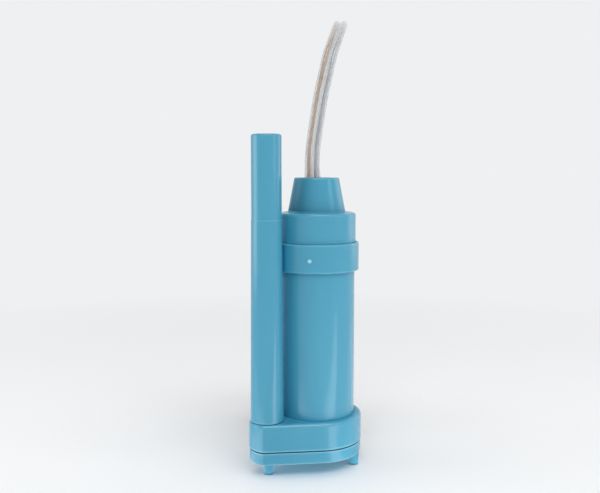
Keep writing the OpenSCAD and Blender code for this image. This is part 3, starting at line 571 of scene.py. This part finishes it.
# The other plastics list their colours in the same order: tone, second tone, painted edge highlight, painted
# gap shade, joint.
black_moulded = plastic(
    "black_moulded", (0.018, 0.018, 0.02), (0.026, 0.026, 0.028), (0.07, 0.07, 0.072), (0.01, 0.01, 0.011),
    (0.004, 0.004, 0.004), (0.4, 0.55),
)
white_moulded = plastic(
    "white_moulded", (0.74, 0.74, 0.7), (0.8, 0.8, 0.76), (0.88, 0.88, 0.85), (0.55, 0.54, 0.49),
    (0.3, 0.29, 0.25), (0.35, 0.5),
)
nylon = plastic(
    "tie_nylon", (0.72, 0.72, 0.68), (0.78, 0.78, 0.75), (0.86, 0.86, 0.84), (0.55, 0.55, 0.52),
    (0.35, 0.35, 0.33), (0.38, 0.5), 90,
)
phenolic = plastic(
    "phenolic_brown", (0.1, 0.045, 0.02), (0.14, 0.062, 0.028), (0.22, 0.11, 0.06), (0.05, 0.022, 0.01),
    (0.02, 0.008, 0.004), (0.45, 0.6), 200,
)
plastics = [turquoise, turquoise_glinted, turquoise_cone_shaded, black_moulded, white_moulded, nylon, phenolic]
print("plastics:", [m.name for m in plastics])

# %% [markdown]
# ## Clear sheath and its wires
# Soft clear plastic shows the wires where one looks straight into it and turns pale and bright at its rims.
# Bending the light as glass does would leave the wires dark, because lamps don't reach them through it. So
# the sheath is see-through by its alpha, more where it faces the eye and less at a slant. The wires get a
# metal with streaks that run along the lead, read from the UV map that the sweep wrote.

# %% Lead finishes
clear_pvc, tree, shader = new_material("clear_soft_pvc")
shader.inputs["Base Color"].default_value = (0.62, 0.62, 0.615, 1)
shader.inputs["IOR"].default_value = 1.53
haze = add(tree, "ShaderNodeGroup", node_tree=skin)
haze.inputs["Drift Scale"].default_value = 120
tree.links.new(spread(tree, haze.outputs["Drift"], 0, 1, 0.1, 0.24), shader.inputs["Roughness"])
grain_bump(tree, shader, haze.outputs["Drift"], 0.15, 0.0002)
slant = add(tree, "ShaderNodeLayerWeight", {"Blend": 0.5})
tree.links.new(spread(tree, slant.outputs["Facing"], 0.15, 0.85, 0.24, 0.85), shader.inputs["Alpha"])


def wire(name, tone, tone_two):
    """Bunched fine wire: streaks along the lay, bright metal."""
    made, tree, shader = new_material(name)
    uv = add(tree, "ShaderNodeUVMap", uv_map="lead")
    size = add(tree, "ShaderNodeMapping", {"Scale": (160, 21, 1)})
    tree.links.new(uv.outputs[0], size.inputs[0])
    streak = add(tree, "ShaderNodeTexNoise", {"Scale": 1.0, "Detail": 3.0})
    tree.links.new(size.outputs[0], streak.inputs["Vector"])
    bright = spread(tree, streak.outputs["Fac"], 0.35, 0.65)
    tree.links.new(blend_colours(tree, bright, tone, tone_two), shader.inputs["Base Color"])
    tree.links.new(spread(tree, streak.outputs["Fac"], 0.3, 0.7, 0.25, 0.45), shader.inputs["Roughness"])
    shader.inputs["Metallic"].default_value = 0.5
    grain_bump(tree, shader, streak.outputs["Fac"], 0.3, 0.0001)
    return made


copper_wire = wire("copper_wire", (0.3, 0.19, 0.12), (0.6, 0.43, 0.31))
tinned_wire = wire("tinned_wire", (0.27, 0.285, 0.33), (0.58, 0.6, 0.67))


def dress(piece, finish):
    """Gives a piece one finish all over."""
    piece.data.materials.clear()
    piece.data.materials.append(finish)


dress(lead_sheath, clear_pvc)
dress(cores["core_copper"], copper_wire)
dress(cores["core_tinned"], tinned_wire)
dress(coil_tie, nylon)
print("lead dressed")

# %% [markdown]
# ## Metals, carbon and rubber inside
# Most of the inside shows only when the pump is taken apart, but each piece still gets its own finish: turned
# shaft, drawn can, stacked laminations, enamelled windings, a rubbed commutator, sintered bronze and so on.
# Ready-made metals would all look alike, so one function makes them: they share the drift group and differ in
# tone, shine and grain, and some have fine lines across the axis, as turning and stacking leave.

# %% Inner finishes
fine_grain, groove_share, groove_tone, worn_share = 2600, 0.7, 0.45, 0.6


def surface_of(
    name, tone, tone_two, metallic, gloss, drift_scale=150, stretch=1.0, bump=0.2, depth=0.00004, lines=0,
    worn=None,
):
    """A general finish: drift of tone, grain, optional fine lines across the axis, optional worn edges."""
    made, tree, shader = new_material(name)
    surface = add(tree, "ShaderNodeGroup", node_tree=skin)
    surface.inputs["Drift Scale"].default_value = drift_scale
    surface.inputs["Stretch"].default_value = stretch
    surface.inputs["Grain Scale"].default_value = fine_grain
    colour = blend_colours(tree, surface.outputs["Drift"], tone, tone_two)
    height = surface.outputs["Grain"]
    if lines:
        coords = add(tree, "ShaderNodeTexCoord")
        waves = {"Scale": lines, "Distortion": 0.6, "Detail": 1.0, "Detail Scale": 2.0}
        bands = add(tree, "ShaderNodeTexWave", waves, wave_type="BANDS", bands_direction="Z")
        tree.links.new(coords.outputs["Object"], bands.inputs["Vector"])
        height = bands.outputs["Fac"]
        groove = spread(tree, height, 0.0, 0.35, groove_share, 0.0)
        colour = blend_colours(tree, groove, colour, tuple(groove_tone * c for c in tone))
    if worn:
        rim = add(tree, "ShaderNodeGroup", node_tree=rims)
        colour = blend_colours(tree, scaled(tree, rim.outputs["Edge"], worn_share), colour, worn)
    tree.links.new(colour, shader.inputs["Base Color"])
    tree.links.new(spread(tree, surface.outputs["Drift"], 0, 1, *gloss), shader.inputs["Roughness"])
    shader.inputs["Metallic"].default_value = metallic
    grain_bump(tree, shader, height, bump, depth)
    return made


# %% Steel and copper
plated = surface_of(
    "plated_steel", (0.56, 0.57, 0.59), (0.68, 0.68, 0.69), 1, (0.22, 0.38), 90, 0.1, worn=(0.85, 0.85, 0.86)
)
ground = surface_of(
    "ground_shaft", (0.62, 0.63, 0.65), (0.72, 0.73, 0.74), 1, (0.12, 0.22), 300, lines=700, bump=0.08
)
laminated = surface_of(
    "stacked_laminations", (0.3, 0.31, 0.33), (0.38, 0.38, 0.4), 1, (0.35, 0.5), lines=320, bump=0.5
)
windings = surface_of(
    "enamelled_windings", (0.42, 0.16, 0.055), (0.52, 0.21, 0.075), 0.7, (0.2, 0.34), lines=420, bump=0.9,
    depth=0.0001,
)
copper_bar = surface_of(
    "commutator_copper", (0.6, 0.3, 0.16), (0.72, 0.4, 0.24), 1, (0.2, 0.42), 400, 6, lines=900, bump=0.15
)
brass = surface_of(
    "brass_leaf", (0.6, 0.44, 0.17), (0.72, 0.55, 0.25), 1, (0.2, 0.34), 200, 0.2, worn=(0.9, 0.78, 0.5)
)
bronze = surface_of("sintered_bronze", (0.3, 0.18, 0.08), (0.42, 0.27, 0.12), 0.8, (0.4, 0.62), 900, bump=0.5)
copper_skin = surface_of("core_copper_skin", (0.5, 0.3, 0.18), (0.6, 0.38, 0.25), 0.3, (0.15, 0.3), 500, 0.1)
tinned_skin = surface_of("core_tinned_skin", (0.5, 0.51, 0.53), (0.6, 0.61, 0.62), 0.3, (0.15, 0.3), 500, 0.1)
print("metals made")

# %% Carbon, ferrite, rubber, fibre and coat
carbon = surface_of(
    "pressed_carbon", (0.012, 0.012, 0.013), (0.03, 0.03, 0.032), 0.1, (0.42, 0.6), 700, bump=0.5
)
ferrite = surface_of(
    "ground_ferrite", (0.055, 0.053, 0.055), (0.085, 0.083, 0.086), 0.2, (0.5, 0.68), 240, bump=0.4,
    worn=(0.16, 0.16, 0.165),
)
rubber = surface_of(
    "moulded_rubber", (0.011, 0.011, 0.011), (0.02, 0.02, 0.02), 0, (0.55, 0.75), 160, bump=0.35
)
fibre = surface_of("pressed_fibre", (0.62, 0.52, 0.32), (0.7, 0.6, 0.4), 0, (0.7, 0.85), 800, bump=0.6)
ochre = surface_of(
    "dipped_ochre", (0.5, 0.22, 0.04), (0.58, 0.28, 0.06), 0, (0.15, 0.28), 220, bump=0.25, depth=0.0001
)
print("other inner finishes made")

# %% Dress the solids
finishes = {
    "pump_housing": turquoise_glinted, "outlet_riser": turquoise, "bottom_plate": turquoise,
    "top_cap": turquoise_cone_shaded, "cap_seal_ring": rubber, "cable_seal": rubber, "shaft_seal": rubber,
    "lead_positive": copper_skin, "lead_negative": tinned_skin, "suppressor_capacitor": ochre,
    "terminal_positive": brass, "terminal_negative": brass, "brush_positive": carbon,
    "brush_negative": carbon, "motor_end_bell": black_moulded, "bearing_upper": bronze,
    "bearing_lower": bronze, "motor_can": plated, "magnet_left": ferrite, "magnet_right": ferrite,
    "magnet_springs": plated, "motor_shaft": ground, "rotor_core": laminated, "rotor_windings": windings,
    "commutator_hub": phenolic, "commutator_segments": copper_bar, "thrust_washers": fibre,
    "seal_retainer": plated, "impeller": white_moulded,
}
for name, finish in finishes.items():
    dress(nodes[name], finish)
print("dressed", len(finishes), "solids")

# %% [markdown]
# ## Floor and backdrop
# The pump stands on a pale sweep. A sweep is a floor that curves up into a wall, so no corner line shows
# behind the object. A flat plane with a horizon would be simpler, but its line would cross the picture. Away
# from the pump the sweep glows evenly for the camera and in the gloss, so that it stays pale everywhere.

# %% Stage
bpy.ops.object.select_all(action="DESELECT")
floor_w, floor_d, wall_h, bend_r = 3.0, 2.4, 2.2, 0.6
floor_z = -0.0002
bpy.ops.mesh.primitive_plane_add(size=1, location=(0, 0, floor_z))
sweep_floor = bpy.context.object
sweep_floor.name = "sweep_floor"
sweep_floor.data.transform(Matrix.Diagonal((floor_w, floor_d, 1, 1)))
bpy.ops.object.mode_set(mode="EDIT")
bpy.ops.mesh.select_all(action="DESELECT")
bpy.ops.object.mode_set(mode="OBJECT")
for e in sweep_floor.data.edges:
    e.select = all(sweep_floor.data.vertices[k].co.y > 0 for k in e.vertices)
bpy.ops.object.mode_set(mode="EDIT")
bpy.ops.mesh.select_mode(type="EDGE")
bpy.ops.mesh.extrude_region_move(TRANSFORM_OT_translate={"value": (0, 0, wall_h)})
bpy.ops.object.mode_set(mode="OBJECT")
apply_modifier(sweep_floor, "BEVEL", width=bend_r, segments=24, limit_method="ANGLE")
sweep_floor.data.transform(Matrix.Rotation(-heading, 4, "Z"))
bpy.ops.object.shade_smooth()
print("sweep faces", len(sweep_floor.data.polygons))

# %% Pale finish of the sweep
near_pump, far_off = 0.12, 0.42


def seen_straight(tree, rays):
    """1 for what the camera sees straight or through a clear piece."""
    return larger(tree, rays.outputs["Is Camera Ray"], rays.outputs["Is Transmission Ray"])


pale, tree, shader = new_material("pale_sweep")
shader.inputs["Base Color"].default_value = (0.88, 0.885, 0.89, 1)
shader.inputs["Roughness"].default_value = 0.7
coords = add(tree, "ShaderNodeTexCoord")
reach = add(tree, "ShaderNodeVectorMath", operation="LENGTH")
tree.links.new(coords.outputs["Object"], reach.inputs[0])
rays = add(tree, "ShaderNodeLightPath")
looked_at = larger(tree, seen_straight(tree, rays), rays.outputs["Is Glossy Ray"])
seen = add(tree, "ShaderNodeMath", operation="MULTIPLY")
tree.links.new(spread(tree, reach.outputs["Value"], near_pump, far_off), seen.inputs[0])
tree.links.new(looked_at, seen.inputs[1])
glow = add(tree, "ShaderNodeEmission", {"Color": (0.86, 0.87, 0.88, 1), "Strength": 1.0})
joined = add(tree, "ShaderNodeMixShader")
tree.links.new(seen.outputs[0], joined.inputs[0])
tree.links.new(shader.outputs[0], joined.inputs[1])
tree.links.new(glow.outputs[0], joined.inputs[2])
tree.links.new(joined.outputs[0], tree.nodes["Material Output"].inputs[0])
sweep_floor.data.materials.append(pale)
print("sweep finish", pale.name)

# %% [markdown]
# ## Light
# In the picture soft light falls from high in front, and long pale streaks run down the round plastic.
# Upright walls mirror the floor, so bright cards that lie on it make the streaks, as a photographer's white
# cards do. One wide box high in front lights the pump, strips at the sides draw the rims, and a box overhead
# keeps the shadows open. A ready-made sky picture would be quicker, but its streaks could not be placed one
# by one. In the gloss the studio's ceiling is darker than its walls, so that upward faces keep their colour.

# %% Lights
target = Vector((motor_x, 0, 0.065))
card_z = 0.0004


def soft_box(name, aside, behind, up, size, power):
    """A rectangular soft light placed in the picture's directions and aimed at the pump."""
    at = Vector((motor_x, 0, up)) + aside * right + behind * ahead
    bpy.ops.object.light_add(type="AREA", location=at)
    lamp = bpy.context.object
    lamp.name = name
    lamp.data.shape = "RECTANGLE"
    lamp.data.size, lamp.data.size_y = size
    lamp.data.energy = power
    lamp.rotation_mode = "QUATERNION"
    lamp.rotation_quaternion = (target - at).to_track_quat("-Z", "Y")
    return lamp


def floor_card(name, aside, behind, size, turn, power):
    """A bright card that lies on the floor and shines up."""
    lamp = soft_box(name, aside, behind, card_z, size, power)
    lamp.rotation_mode = "XYZ"
    lamp.rotation_euler = (math.pi, 0, math.radians(turn) - heading)
    return lamp


soft_boxes = [
    ("left_strip", -0.55, -0.02, 0.12, (0.36, 0.5), 1.35),
    ("front_box", 0.12, -0.64, 0.7, (0.9, 0.36), 3.9),
    ("right_strip", 0.55, -0.25, 0.36, (0.2, 0.6), 0.5),
    ("rear_right_box", 0.52, 0.25, 0.28, (0.3, 0.6), 0.5),
    ("overhead_box", 0, 0, 0.8, (0.45, 0.45), 1.0),
]
floor_cards = [
    ("right_card", 0.145, -0.107, (0.24, 0.045), -22, 0.072),
    ("right_near_card", 0.0305, -0.045, (0.066, 0.014), -62, 0.0058),
    ("right_side_card", 0.062, 0.004, (0.05, 0.05), 0, 0.0016),
    ("right_rear_card", 0.15, 0.11, (0.22, 0.08), 40, 0.017),
    ("left_card", -0.11, -0.045, (0.14, 0.05), 0, 0.015),
    ("left_near_card", -0.05, -0.022, (0.04, 0.036), 0, 0.0045),
    ("left_front_card", -0.06, -0.062, (0.05, 0.04), 0, 0.007),
    ("under_card", -0.004, -0.01, (0.045, 0.024), 0, 0.0028),
]
for values in soft_boxes:
    soft_box(*values)
for values in floor_cards:
    floor_card(*values)
print("lights:", len(soft_boxes) + len(floor_cards))

# %% Air of the studio
air_level, seen_level, ceiling_level = 0.5, 0.885, 0.25
wall_top, ceiling = 0.1, 0.45
world = bpy.data.worlds.new("studio_air")
bpy.context.scene.world = world
world.use_nodes = True
sky = world.node_tree
air = sky.nodes["Background"]
air.inputs[0].default_value = (0.97, 0.985, 1.0, 1)
rays = add(sky, "ShaderNodeLightPath")
way = add(sky, "ShaderNodeSeparateXYZ")
sky.links.new(add(sky, "ShaderNodeTexCoord").outputs["Generated"], way.inputs[0])
in_gloss = add(sky, "ShaderNodeMix", {2: air_level}, data_type="FLOAT")
sky.links.new(rays.outputs["Is Glossy Ray"], in_gloss.inputs[0])
overhead = spread(sky, way.outputs["Z"], wall_top, ceiling, seen_level, ceiling_level)
sky.links.new(overhead, in_gloss.inputs[3])
in_view = add(sky, "ShaderNodeMix", {3: seen_level}, data_type="FLOAT")
sky.links.new(seen_straight(sky, rays), in_view.inputs[0])
sky.links.new(in_gloss.outputs[0], in_view.inputs[2])
sky.links.new(in_view.outputs[0], air.inputs[1])
bpy.context.scene.view_settings.view_transform = "Standard"
print("air", air_level, "seen as", seen_level)
